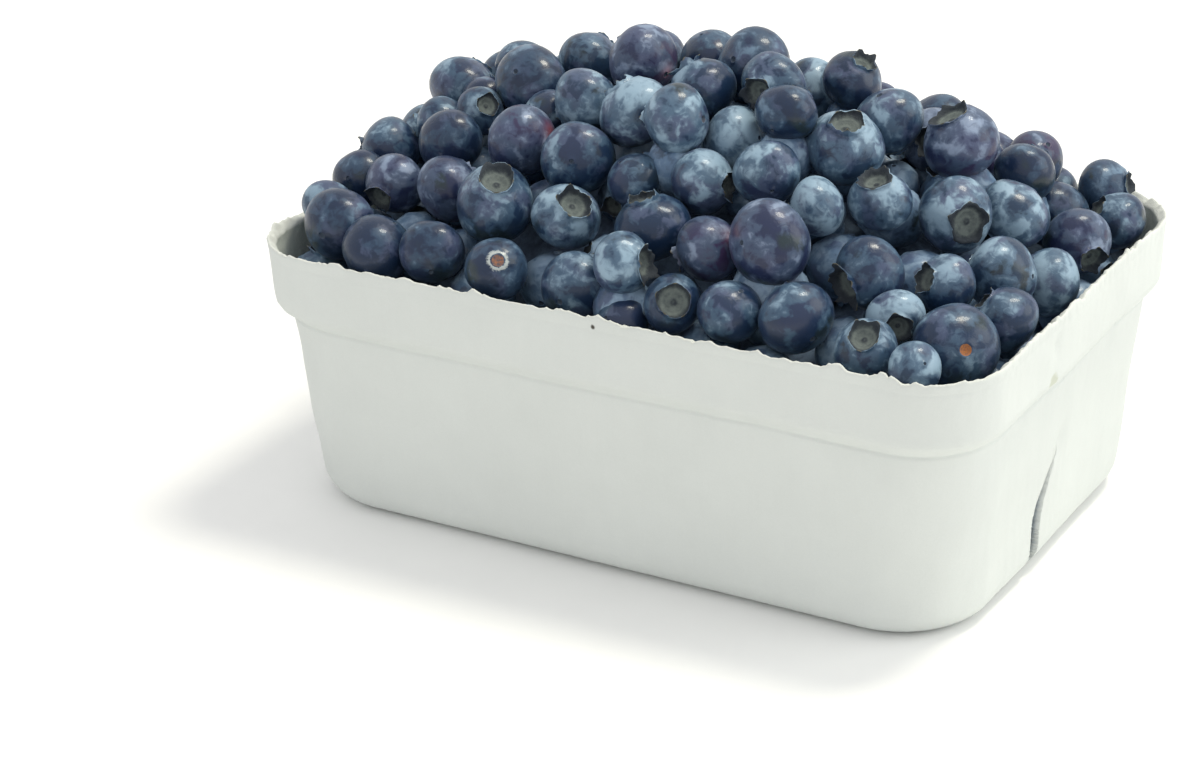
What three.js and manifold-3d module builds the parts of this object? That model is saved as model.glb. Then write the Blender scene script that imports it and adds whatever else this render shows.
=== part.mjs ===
// A moulded pulp punnet heaped with blueberries.
//
// Millimetres, +Z up. The origin is the middle of the punnet's underside, and +X runs along its long side.
// There are two solids. The punnet is one wall of even thickness, with an upright band round its rim and a
// slit low in each end. The heap is a core that fills the punnet and rises a little above it, with the
// berries that show fused on. Each stands on a pointed root, so the gaps between them go down to the core.

import * as THREE from 'three';
import { mergeVertices } from 'three/addons/utils/BufferGeometryUtils.js';
import Module from 'manifold-3d';

const wasm = await Module();
wasm.setup();

// ---------------------------------------------------------------- driving dimensions, in millimetres

// The punnet, over its outside.
const LENGTH = 165;
const WIDTH = 113;
const HEIGHT = 59;
const WALL = 1.8;
const LIP = 0.5; // the rim's edges are rounded off by this much
const BAND_HEIGHT = 13.4; // the upright band round the rim
const BAND_LEAN = 0.5; // how far the band comes in from its top to its foot
const STEP_HEIGHT = 3.3; // the soft step under the band
const STEP_IN = 2.2;
const WALL_LEAN = 0.074; // how far the wall under the step comes in for each millimetre down
const FOOT_ROUND = 5.8; // the round from the wall into the underside
const RIM_CORNER = 16; // corner radius in plan, at the rim and at the foot
const FOOT_CORNER = 20;
const RIM_WAVE = 0.35; // the rim's edge is this much up and down

// The slit low in each end. It rises straight, then leans over and runs out to a point.
const SLIT_WIDTH = 3.9;
const SLIT_FOOT = 3;
const SLIT_BEND = 12; // it leans over from this height on
const SLIT_TOP = 25;
const SLIT_LEAN = 8.7; // its point lies this far to the side of its middle
const SLIT_SHIFT = -11.3; // and its middle this far to the side of the end's middle
const SLIT_DEPTH = 24; // the cut goes this far in, through the wall and the round of the foot

// The heap. Its surface runs through the middles of the berries that show.
const GAP = 0.3; // between the berries and the punnet
const PEAK_X = -8;
const PEAK_Y = 8;
const HEAP_RISE = 31; // the peak stands this far above the rim
const REACH_SIDE = 80; // from the peak to where the heap has fallen to the rim
const REACH_FRONT = 58;
const REACH_BACK = 44;
const SIDE_POWER = 2; // how round the heap is on each side: 1 is a straight slope
const FRONT_POWER = 1.4;
const BACK_POWER = 2;
const CORE_DROP = 13; // the core's top lies this far under the heap's surface
const SHORE_DROP = 12; // and meets the wall this far under the rim
const SHORE_SLOPE = 60; // rise of the core from the wall to the middle, at most

// The berries.
const FLATNESS = 0.85; // a berry's height, crown end to stem end, as a share of its width
const FILL_THROWS = 2400; // tries at filling in between the laid berries, the largest first
const FILL_LARGEST = 15.4;
const FILL_SMALLEST = 10.6;
const FILL_LOWEST = -3; // how far under and over the heap's surface a filling berry lies
const FILL_HIGHEST = 1;
const BENEATH_LOWEST = -13; // how far under it a berry of the layer beneath lies
const BENEATH_HIGHEST = -7;
const IN_A_GAP = 1; // one beneath shows if it lies this share of a radius to the side of all above it
const ROOT = 2.7; // a berry runs out to a point this many radii under its middle, inside the core
const EVEN_OUT = 1.05; // a berry of few sides is this much wider, so that it covers what a round one does
const CROWN_SHOWS = 60; // a crown tilted further than this many degrees from straight up is hidden
const STANDS_PROUD = 2; // from this lift on, a berry stands on another that lies right under it
const UNDER = 1.4; // and that one lies this many radii lower
const CROWDED = 0.84; // nearer to another berry than this share of touching, none is added
const TOUCH = 1.01; // berries settle this many times their touching distance apart
const SETTLE_STEPS = 60;
const SETTLE_PUSH = 0.4;
const SETTLE_PULL = 0.3;
const SEED = 20709;

// Fineness of the surfaces.
const CORNER_STEPS = 5;
const SIDE_STEPS = 4;
const HEAP_RINGS = 5;
const BERRY_SIDES = 7;

// The largest berries and those along the heap's outline are laid by hand, each as its place across and
// deep, its width, how far it stands proud of the heap's surface, and the bearing and tilt of its crown in
// degrees. A tilt of 0 is a crown that points straight up.
const LAID_BERRIES = [
  // along the rim in front, from the left
  [-66, -42, 15.6, 0, 90, 90],
  [-41, -46, 13.6, 0, 120, 70],
  [-25, -47, 13.0, 0, 127, 129],
  [-8, -45, 14.6, -3, 90, 80],
  [3, -45, 13.2, 4, 0, 80],
  [15, -47, 12.4, 0, -56, 61],
  [27, -46, 13.4, 0, 170, 150],
  [40, -44, 15.2, 0, 150, 70],
  [56, -46, 13.0, -1, -75, 37],
  [70, -36, 17.2, -1, 127, 109],
  // across the slope in front
  [-62, -27, 13.8, -1, -96, 106],
  [-33, -34, 17.4, 0, -46, 24],
  [-17, -33, 14.4, -2, -32, 45],
  [2, -31, 15.8, -3, -157, 17],
  [16, -34, 13.6, -1, 180, 118],
  [30, -35, 17.8, 5, 70, 105],
  [48, -28, 14.8, 0, -114, 100],
  [61, -21, 12.8, 0, -124, 64],
  [-55, -16, 14.8, 0, 103, 72],
  [-36, -18, 15.4, 0, 170, 93],
  [-1, -15, 14.4, 5, 180, 99],
  [20, -17, 13.8, 1, 130, 73],
  [42, -10, 13.6, 0, -103, 21],
  // along the ridge, from the left
  [-73, -24, 12.4, 0, 93, 109],
  [-46, 3, 17.0, 0, 86, 124],
  [-21, 7, 15.6, 0, 165, 78],
  [1, 15, 16.8, 0, 76, 116],
  [11, 4, 14.2, 2, -96, 92],
  [19, -6, 12.8, 5, 84, 69],
  [21, 21, 13.4, 3, -8, 28],
  [30, -2, 16.4, 0, -52, 19],
  [48, 15, 16.0, 5, -144, 23],
  [54, -1, 15.6, 0, -41, 87],
  [54, 40, 13.0, 4, 156, 137],
  [57, 27, 12.8, 3, 81, 69],
  // along the rim at the right
  [72, 5, 13.8, -2, -141, 73],
  [71, 22, 14.4, 0, -36, 108],
  [74, 38, 12.6, 0, -150, 57],
  [67, 47, 12.8, 2, 11, 78],
];

const DEGREE = Math.PI / 180;

// ---------------------------------------------------------------- surfaces and solids

// A closed surface through a list of rings that all run anticlockwise seen from above. The first and the
// last ring are closed with a fan of triangles to their middle.
function loft(rings) {
  const positions = [];
  const index = [];
  const count = rings[0].length;
  const addPoint = (point) => positions.push(point.x, point.y, point.z);
  const middleOf = (ring) => {
    const sum = ring.reduce((total, point) => total.add(point), new THREE.Vector3());
    return sum.divideScalar(count);
  };
  rings.flat().forEach(addPoint);
  addPoint(middleOf(rings[0]));
  addPoint(middleOf(rings[rings.length - 1]));
  const firstMiddle = rings.length * count;
  const lastMiddle = firstMiddle + 1;
  const lastRing = (rings.length - 1) * count;
  for (let step = 0; step < count; step += 1) {
    const next = (step + 1) % count;
    index.push(firstMiddle, next, step);
    index.push(lastMiddle, lastRing + step, lastRing + next);
    for (let ring = 0; ring < lastRing; ring += count) {
      index.push(ring + step, ring + next, ring + count + next);
      index.push(ring + step, ring + count + next, ring + count + step);
    }
  }
  const geometry = new THREE.BufferGeometry();
  geometry.setAttribute('position', new THREE.Float32BufferAttribute(positions, 3));
  geometry.setIndex(index);
  return geometry;
}

// A geometry as a solid: its shared vertices are merged and its triangles of no area are left out.
function toSolid(geometry) {
  const bare = geometry.clone();
  bare.deleteAttribute('normal');
  bare.deleteAttribute('uv');
  const merged = mergeVertices(bare, 1e-3);
  const corners = merged.index.array;
  const triangles = [];
  for (let at = 0; at < corners.length; at += 3) {
    const [a, b, c] = corners.slice(at, at + 3);
    if (a !== b && b !== c && c !== a) {
      triangles.push(a, b, c);
    }
  }
  return new wasm.Manifold(new wasm.Mesh({
    numProp: 3,
    vertProperties: new Float32Array(merged.attributes.position.array),
    triVerts: new Uint32Array(triangles),
  }));
}

function toGeometry(solid) {
  const mesh = solid.getMesh();
  const geometry = new THREE.BufferGeometry();
  geometry.setAttribute('position', new THREE.BufferAttribute(mesh.vertProperties, 3));
  geometry.setIndex(new THREE.BufferAttribute(mesh.triVerts, 1));
  geometry.computeVertexNormals();
  return geometry;
}

// ---------------------------------------------------------------- the punnet's form

// A rounded rectangle that lies inset by some millimetres from the rim's outline.
function ring(z, inset, corner) {
  const reachX = LENGTH / 2 - inset - corner;
  const reachY = WIDTH / 2 - inset - corner;
  const cornerPoint = (quarter, step) => {
    const angle = (quarter + step / CORNER_STEPS) * (Math.PI / 2);
    const middle = (quarter + 0.5) * (Math.PI / 2);
    return new THREE.Vector3(
      Math.sign(Math.cos(middle)) * reachX + corner * Math.cos(angle),
      Math.sign(Math.sin(middle)) * reachY + corner * Math.sin(angle),
      z,
    );
  };
  const points = [];
  for (let quarter = 0; quarter < 4; quarter += 1) {
    for (let step = 0; step < CORNER_STEPS; step += 1) {
      points.push(cornerPoint(quarter, step));
    }
    const sideStart = cornerPoint(quarter, CORNER_STEPS);
    const sideEnd = cornerPoint((quarter + 1) % 4, 0);
    for (let step = 0; step < SIDE_STEPS; step += 1) {
      points.push(sideStart.clone().lerp(sideEnd, step / SIDE_STEPS));
    }
  }
  return points;
}

// How far the outside has come in from the rim's outline at a height, without the round of the foot.
function insetAt(z) {
  const down = HEIGHT - z;
  const band = BAND_LEAN * Math.min(down / BAND_HEIGHT, 1);
  const step = STEP_IN * THREE.MathUtils.smoothstep(down, BAND_HEIGHT, BAND_HEIGHT + STEP_HEIGHT);
  const wall = WALL_LEAN * Math.max(down - BAND_HEIGHT - STEP_HEIGHT, 0);
  return band + step + wall;
}

// One ring of the skin that lies depth millimetres inside the punnet's outside.
function skinRing(z, depth) {
  const round = FOOT_ROUND - depth;
  const intoFoot = Math.max(FOOT_ROUND - z, 0);
  const foot = round - Math.sqrt(Math.max(round ** 2 - intoFoot ** 2, 0));
  const corner = THREE.MathUtils.lerp(FOOT_CORNER, RIM_CORNER, z / HEIGHT) - depth - foot;
  return ring(z, insetAt(z) + depth + foot, corner);
}

// That skin from its flat bottom up to a height: the foot's quarter round, the wall, the step and the band.
function skin(depth, top) {
  const foot = [0, 30, 60, 90].map(
    (turn) => depth + (FOOT_ROUND - depth) * (1 - Math.cos(turn * DEGREE)),
  );
  const step = [1, 0.7, 0.3, 0].map((share) => HEIGHT - BAND_HEIGHT - STEP_HEIGHT * share);
  return [...foot, ...step, top].map((z) => skinRing(z, depth));
}

// The rim's edge isn't cut true: it rises and falls a little on its way round.
function waveRim(point) {
  const turn = Math.atan2(point.y / WIDTH, point.x / LENGTH);
  const wave = 0.5 * Math.sin(3 * turn + 1) + 0.3 * Math.sin(7 * turn) + 0.2 * Math.sin(13 * turn + 2);
  return point.setZ(point.z + RIM_WAVE * wave);
}

// A slit's outline, drawn along the end and upwards, and pushed through the wall.
function slit() {
  const side = SLIT_WIDTH / 2;
  const swing = (SLIT_TOP - SLIT_BEND) / 2;
  const outline = new THREE.Shape();
  outline.moveTo(-side, SLIT_FOOT);
  outline.lineTo(-side, SLIT_BEND);
  outline.quadraticCurveTo(-0.6 * side, SLIT_BEND + 1.2 * swing, SLIT_LEAN, SLIT_TOP);
  outline.quadraticCurveTo(1.4 * side, SLIT_TOP - swing, side, SLIT_TOP - 2.4 * swing);
  outline.lineTo(side, SLIT_FOOT);
  const geometry = new THREE.ExtrudeGeometry(outline, {
    depth: SLIT_DEPTH,
    bevelEnabled: false,
    curveSegments: 6,
  });
  geometry.rotateX(Math.PI / 2);
  geometry.rotateZ(Math.PI / 2);
  geometry.translate(LENGTH / 2 - SLIT_DEPTH + WALL, SLIT_SHIFT, 0);
  return geometry;
}

function punnetGeometry() {
  const outside = skin(0, HEIGHT - LIP);
  const inside = skin(WALL, HEIGHT - LIP).reverse();
  const edge = [LIP, WALL - LIP].map((inset) => ring(HEIGHT, inset, RIM_CORNER - inset));
  const rim = [outside.pop(), ...edge, inside.shift()];
  rim.flat().forEach(waveRim);
  const shell = toSolid(loft([...outside, ...rim, ...inside]));
  const oneEnd = toSolid(slit());
  const otherEnd = toSolid(slit().rotateZ(Math.PI));
  return toGeometry(shell.subtract(oneEnd).subtract(otherEnd));
}

// ---------------------------------------------------------------- laying the berries

// The same draws every time, each from 0 to 1.
let seed = SEED;
function draw() {
  seed = (seed * 1664525 + 1013904223) % 4294967296;
  return seed / 4294967296;
}

// The surface that the berries' middles lie on. It falls from the peak to the rim on every side.
function heapHeight(x, y) {
  const toSide = Math.min(Math.abs(x - PEAK_X) / REACH_SIDE, 1) ** SIDE_POWER;
  const reachDeep = y < PEAK_Y ? REACH_FRONT : REACH_BACK;
  const deepPower = y < PEAK_Y ? FRONT_POWER : BACK_POWER;
  const toDeep = Math.min(Math.abs(y - PEAK_Y) / reachDeep, 1) ** deepPower;
  return HEIGHT + HEAP_RISE * (1 - toSide) * (1 - toDeep);
}

function layBerry([x, y, width, lift, bearing, tilt], fixed) {
  const place = new THREE.Vector3(x, y, heapHeight(x, y) + lift);
  return { place, radius: width / 2, lift, bearing, tilt, fixed };
}

// Keeps a berry clear of the wall: its middle stays in the inside's outline less its own radius.
function keepInside(berry) {
  const depth = insetAt(Math.min(berry.place.z, HEIGHT)) + WALL + GAP;
  const corner = Math.max(RIM_CORNER - depth - berry.radius, 0.1);
  const reachX = LENGTH / 2 - depth - berry.radius - corner;
  const reachY = WIDTH / 2 - depth - berry.radius - corner;
  const nearX = THREE.MathUtils.clamp(berry.place.x, -reachX, reachX);
  const nearY = THREE.MathUtils.clamp(berry.place.y, -reachY, reachY);
  const out = Math.hypot(berry.place.x - nearX, berry.place.y - nearY);
  const share = Math.min(corner / Math.max(out, 1e-9), 1);
  berry.place.x = nearX + (berry.place.x - nearX) * share;
  berry.place.y = nearY + (berry.place.y - nearY) * share;
}

// Berries thrown at random over the heap, each kept where it lands clear of those already there.
function thrownBerries(there, lowest, highest) {
  const all = [...there];
  for (let toss = 0; toss < FILL_THROWS; toss += 1) {
    const width = THREE.MathUtils.lerp(FILL_LARGEST, FILL_SMALLEST, toss / FILL_THROWS);
    const x = LENGTH * (draw() - 0.5);
    const y = WIDTH * (draw() - 0.5);
    const lift = lowest + (highest - lowest) * draw();
    const bearing = 360 * draw();
    const tilt = Math.acos(1 - 2 * draw()) / DEGREE;
    const berry = layBerry([x, y, width, lift, bearing, tilt], false);
    keepInside(berry);
    const isClear = (other) => berry.place.distanceTo(other.place) > CROWDED * (berry.radius + other.radius);
    if (all.every(isClear)) {
      all.push(berry);
    }
  }
  return all.slice(there.length);
}

// Pushes overlapping berries apart and draws each back to the heap's surface, until they lie side by side.
// Berries laid by hand stay where they are.
function settle(berries) {
  for (let step = 0; step < SETTLE_STEPS; step += 1) {
    const moves = berries.map((berry) => {
      const move = new THREE.Vector3();
      berries.forEach((other) => {
        const away = berry.place.clone().sub(other.place);
        const distance = away.length();
        const overlap = TOUCH * (berry.radius + other.radius) - distance;
        if (other !== berry && overlap > 0) {
          const share = other.fixed ? 2 : 1;
          move.addScaledVector(away, (SETTLE_PUSH * share * overlap) / distance);
        }
      });
      return move;
    });
    berries.forEach((berry, at) => {
      if (!berry.fixed) {
        berry.place.add(moves[at]);
        const surface = heapHeight(berry.place.x, berry.place.y) + berry.lift;
        berry.place.z += SETTLE_PULL * (surface - berry.place.z);
        keepInside(berry);
      }
    });
  }
  return berries;
}

// ---------------------------------------------------------------- the heap

// A berry's outline from its stem end to its crown: out as a share of its radius, and up as a share of half
// its height. The crown is a short wall round a pointed cup.
const CROWNED_OUTLINE = [
  [0, -0.94],
  [0.55, -0.85],
  [0.92, -0.45],
  [1, 0.02],
  [0.88, 0.54],
  [0.48, 0.9],
  [0.42, 1.06],
  [0, 0.7],
];

// A berry whose crown is hidden, as shares of its radius: a round that runs out to its root below.
const ROOTED_OUTLINE = [
  [0, -ROOT],
  [0.84, -0.54],
  [0.98, 0.2],
  [0.6, 0.8],
  [0, 1],
];

// The root by itself, for under a berry that shows its crown.
const ROOT_OUTLINE = [
  [0, -ROOT],
  [0.6, -0.7],
  [0, -0.4],
];

function turned(outline, radius) {
  const profile = outline.map(([out, up]) => new THREE.Vector2(out * radius, up * radius));
  return new THREE.LatheGeometry(profile, BERRY_SIDES);
}

// The way that a berry's crown points.
function crownWay({ bearing, tilt }) {
  return new THREE.Vector3(
    Math.sin(tilt * DEGREE) * Math.cos(bearing * DEGREE),
    Math.sin(tilt * DEGREE) * Math.sin(bearing * DEGREE),
    Math.cos(tilt * DEGREE),
  );
}

function crownedBerry(berry) {
  const turn = new THREE.Quaternion().setFromUnitVectors(new THREE.Vector3(0, 1, 0), crownWay(berry));
  const body = turned(CROWNED_OUTLINE, berry.radius).scale(1, FLATNESS, 1).applyQuaternion(turn);
  const root = turned(ROOT_OUTLINE, berry.radius).rotateX(Math.PI / 2);
  return toSolid(body).add(toSolid(root)).translate(berry.place.toArray());
}

// A round that is flattened along the way its crown points. The root's point stays straight below.
function rootedBerry(berry) {
  const radius = EVEN_OUT * berry.radius;
  const geometry = turned(ROOTED_OUTLINE, radius).rotateX(Math.PI / 2);
  const points = geometry.attributes.position;
  const way = crownWay(berry);
  for (let at = 0; at < points.count; at += 1) {
    const point = new THREE.Vector3().fromBufferAttribute(points, at);
    if (point.z > -radius) {
      point.addScaledVector(way, (FLATNESS - 1) * point.dot(way));
      points.setXYZ(at, ...point.toArray());
    }
  }
  return toSolid(geometry.translate(...berry.place.toArray()));
}

// A laid berry whose crown is turned up shows it.
function berrySolid(berry) {
  return berry.fixed && berry.tilt <= CROWN_SHOWS ? crownedBerry(berry) : rootedBerry(berry);
}

// The top of the core: well under the heap's surface, and lower still towards the wall.
function coreTop(x, y, inward) {
  return Math.min(heapHeight(x, y) - CORE_DROP, HEIGHT - SHORE_DROP + SHORE_SLOPE * inward);
}

function coreSolid() {
  const sides = skin(WALL + GAP, HEIGHT - SHORE_DROP);
  const shore = sides[sides.length - 1];
  const top = [];
  for (let step = 1; step < HEAP_RINGS; step += 1) {
    const inward = step / HEAP_RINGS;
    const shrink = ({ x, y }) => [x * (1 - inward), y * (1 - inward)];
    top.push(shore.map(shrink).map(([x, y]) => new THREE.Vector3(x, y, coreTop(x, y, inward))));
  }
  return toSolid(loft([...sides, ...top]));
}

// The room that the heap may take: the punnet's inside, and above the rim all that is within its outline.
function roomSolid() {
  const above = [HEIGHT + 2 * RIM_WAVE, 2 * HEIGHT].map((z) => ring(z, 0, RIM_CORNER));
  return toSolid(loft([...skin(WALL + GAP, HEIGHT + RIM_WAVE), ...above]));
}

// The berry that a proud one stands on.
function berryUnder(berry) {
  const place = berry.place.clone();
  place.z -= UNDER * berry.radius;
  return { ...berry, place, fixed: false };
}

// The largest body of a solid. What fusing leaves besides it is a sealed hollow or a loose scrap.
function withoutScraps(solid) {
  return solid.decompose().reduce((whole, body) => (body.volume() > whole.volume() ? body : whole));
}

// Whether a berry of the layer beneath shows in a gap, and isn't covered by one above.
function showsBetween(berry, above) {
  const isAside = (other) => {
    const aside = Math.hypot(other.place.x - berry.place.x, other.place.y - berry.place.y);
    return other.place.z < berry.place.z || aside > IN_A_GAP * other.radius;
  };
  return above.every(isAside);
}

function heapGeometry() {
  const laid = LAID_BERRIES.map((berry) => layBerry(berry, true));
  const berries = settle([...laid, ...thrownBerries(laid, FILL_LOWEST, FILL_HIGHEST)]);
  const under = berries.filter((berry) => berry.lift >= STANDS_PROUD).map(berryUnder);
  const above = [...berries, ...under].map((berry) => ({ ...berry, fixed: true }));
  const thrown = thrownBerries(above, BENEATH_LOWEST, BENEATH_HIGHEST);
  const beneath = settle([...above, ...thrown]).slice(above.length);
  const seen = [...berries, ...under, ...beneath.filter((berry) => showsBetween(berry, above))];
  const heap = seen.map(berrySolid).reduce((whole, berry) => whole.add(berry), coreSolid());
  return toGeometry(withoutScraps(heap.intersect(roomSolid())));
}

// ---------------------------------------------------------------- the part

const pulp = new THREE.MeshStandardMaterial({ color: 0xdadbd0, roughness: 0.95, metalness: 0 });
const berrySkin = new THREE.MeshStandardMaterial({ color: 0x2b3654, roughness: 0.5, metalness: 0 });

function namedMesh(name, geometry, material) {
  const mesh = new THREE.Mesh(geometry, material);
  mesh.name = name;
  return mesh;
}

const part = new THREE.Group();
part.add(namedMesh('punnet', punnetGeometry(), pulp));
part.add(namedMesh('berries', heapGeometry(), berrySkin));

export default part;
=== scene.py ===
# %% [markdown]
# # Blueberries heaped in a moulded pulp punnet
#
# A punnet of this kind is sucked from wet paper pulp onto a wire mould, dried, and filled until
# the fruit stands well above its rim. The frame holds two plain solids, the punnet and the heap.
# Here both are replaced by what the real ones are made of: a felted shell with a torn rim, and
# single berries, each with its crown, its stem scar and its waxy bloom. All sizes are in metres,
# in the frame's own axes.

# %% Load the frame
import math

import bpy
import numpy as np
from mathutils import Matrix, Vector


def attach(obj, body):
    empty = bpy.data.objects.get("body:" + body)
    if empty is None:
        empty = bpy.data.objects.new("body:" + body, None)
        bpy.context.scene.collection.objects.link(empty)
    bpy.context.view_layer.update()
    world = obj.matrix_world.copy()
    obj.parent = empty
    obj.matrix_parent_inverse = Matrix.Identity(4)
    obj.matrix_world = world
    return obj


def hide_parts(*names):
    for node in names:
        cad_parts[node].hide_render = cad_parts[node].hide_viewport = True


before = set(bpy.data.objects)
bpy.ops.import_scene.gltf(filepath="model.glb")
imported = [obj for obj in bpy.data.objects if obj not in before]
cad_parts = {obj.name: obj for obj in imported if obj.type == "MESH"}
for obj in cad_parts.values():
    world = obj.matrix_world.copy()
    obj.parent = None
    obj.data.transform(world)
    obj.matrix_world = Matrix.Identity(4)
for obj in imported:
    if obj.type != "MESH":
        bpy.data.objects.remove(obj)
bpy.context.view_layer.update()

MM = 0.001


# %% [markdown]
# ## The camera
#
# A long lens from some way off keeps the punnet's sides nearly parallel, as in a product
# picture. A camera can be aimed with a Track To constraint, but three plain turns leave nothing
# live in the file: round the upright axis to the bearing, up to the elevation, and a small roll
# about the line of sight.

# %% Place the camera
LENS = 90.05  # for Blender's 36 mm wide sensor
CAMERA_PLACE = Vector((274.9, -516.8, 285.5)) * MM
AZIMUTH, ELEVATION, ROLL = 30.49, 24.33, -1.47


def put_in_scene(name, data):
    """A new object with that data, linked into the scene."""
    made = bpy.data.objects.new(name, data)
    bpy.context.scene.collection.objects.link(made)
    return made


camera = put_in_scene("camera", bpy.data.cameras.new("camera"))
camera.data.lens = LENS
camera.matrix_world = (
    Matrix.Translation(CAMERA_PLACE)
    @ Matrix.Rotation(math.radians(AZIMUTH), 4, "Z")
    @ Matrix.Rotation(math.radians(90 - ELEVATION), 4, "X")
    @ Matrix.Rotation(math.radians(ROLL), 4, "Z")
)
bpy.context.scene.camera = camera
print("camera stands", round(CAMERA_PLACE.length, 3), "m from the punnet's foot")

# %% [markdown]
# ## The light
#
# White fruit packaging is shot on white, under a soft source overhead and a wider, weaker one
# from the side, so that dark berries get one small warm glint each and the pulp shows its form
# in slight greys. Area lamps do that better than suns or points, whose hard shadows would cut
# the heap up. The world gives the even light that a white room sends back.

# %% Hang the lamps
AIM = Vector((0, 0, 50 * MM))  # the middle of the punnet with its heap
ROOM_LIGHT = 0.84


def way_to(bearing, elevation):
    """The way to a place. Bearing 0 is in front, along -Y, and 90 is on the +X side."""
    turn, rise = math.radians(bearing), math.radians(elevation)
    return math.sin(turn) * math.cos(rise), -math.cos(turn) * math.cos(rise), math.sin(rise)


def hang_lamp(name, bearing, elevation, distance, size, power, colour):
    """An oval lamp that faces the punnet from that way and distance."""
    away = Vector(way_to(bearing, elevation))
    lamp = put_in_scene(name, bpy.data.lights.new(name, "AREA"))
    lamp.data.shape = "ELLIPSE"
    lamp.data.size, lamp.data.size_y = size
    lamp.data.energy = power
    lamp.data.color = colour
    lamp.location = AIM + away * distance
    lamp.rotation_euler = away.to_track_quat("Z", "Y").to_euler()


hang_lamp("key_overhead", bearing=140, elevation=68, distance=1.0, size=(0.24, 0.36), power=5.8,
          colour=(1.0, 0.96, 0.82))
hang_lamp("fill_right", bearing=112, elevation=28, distance=1.3, size=(0.9, 0.9), power=4.4,
          colour=(0.97, 1.0, 0.95))

world = bpy.data.worlds.new("white_room")
world.use_nodes = True
room = world.node_tree.nodes["Background"].inputs
room["Color"].default_value = (1.0, 1.0, 1.0, 1.0)
room["Strength"].default_value = ROOM_LIGHT
bpy.context.scene.world = world
bpy.context.scene.view_settings.view_transform = "Standard"
print("lamps:", [each.name for each in bpy.data.lights])

# %% [markdown]
# ## Colours and nodes
#
# Colours are picked as sRGB hex values, but a renderer adds up linear light, so each goes
# through the sRGB curve first. Materials are small graphs of nodes. They could be clicked
# together by hand; in code, one helper that adds a node with its settings and links keeps each
# graph readable from top to bottom. Where a pattern is laid over another, the nodes come from a
# short table of what is laid on, from the lowest layer up.

# %% Helpers for materials
MIX_A, MIX_B, MIX_RESULT = 6, 7, 2  # the colour sockets of a Mix node


def linear(hex_colour):
    """An sRGB hex colour as linear RGBA: c / 12.92 where dark, else ((c + 0.055) / 1.055) to
    the 2.4."""
    srgb = np.array([int(hex_colour[at:at + 2], 16) for at in (1, 3, 5)]) / 255
    rgb = np.where(srgb <= 0.04045, srgb / 12.92, ((srgb + 0.055) / 1.055) ** 2.4)
    return (*rgb.tolist(), 1.0)


def connect(tree, node, inputs):
    """Gives each input, by name or number, its value or a link from another node's output."""
    for name, value in inputs.items():
        if isinstance(value, bpy.types.NodeSocket):
            tree.links.new(value, node.inputs[name])
        else:
            node.inputs[name].default_value = value


def add(tree, kind, inputs=None, output=0, **settings):
    """Adds a shader node with its settings and inputs, and gives one of its outputs."""
    node = tree.nodes.new("ShaderNode" + kind)
    for name, value in settings.items():
        setattr(node, name, value)
    connect(tree, node, inputs or {})
    return node.outputs[output]


def new_material(name):
    """A new material, its node tree, and the Principled shader in it."""
    material = bpy.data.materials.new(name)
    material.use_nodes = True
    return material, material.node_tree, material.node_tree.nodes["Principled BSDF"]


print("navy in linear light:", [round(channel, 3) for channel in linear("#27324a")[:3]])

# %% [markdown]
# ## Surfaces from grids
#
# Every new piece here is a closed surface over a grid: rows run from one pole to the other,
# columns run round. Spinning a profile with a modifier would give the same for one smooth shape,
# but not a different crown on each of a hundred berries. So a shape is a function that gives all
# points of all its copies as one array, and this helper turns the array into a mesh with its
# attributes and material slots.

# %% Helpers for meshes


def together(*coordinates):
    """Coordinates of the same points, each spread to the shape of all, side by side."""
    return np.stack(np.broadcast_arrays(*coordinates), axis=-1)


def in_vertex_order(grid):
    """Values of (surfaces, rows, columns) in the mesh's order: per surface one pole, the rows,
    one pole."""
    count, rows, columns, *rest = grid.shape
    between = grid[:, 1:-1].reshape(count, (rows - 2) * columns, *rest)
    return np.concatenate([grid[:, 0, :1], between, grid[:, -1, :1]], axis=1).reshape(-1, *rest)


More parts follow.
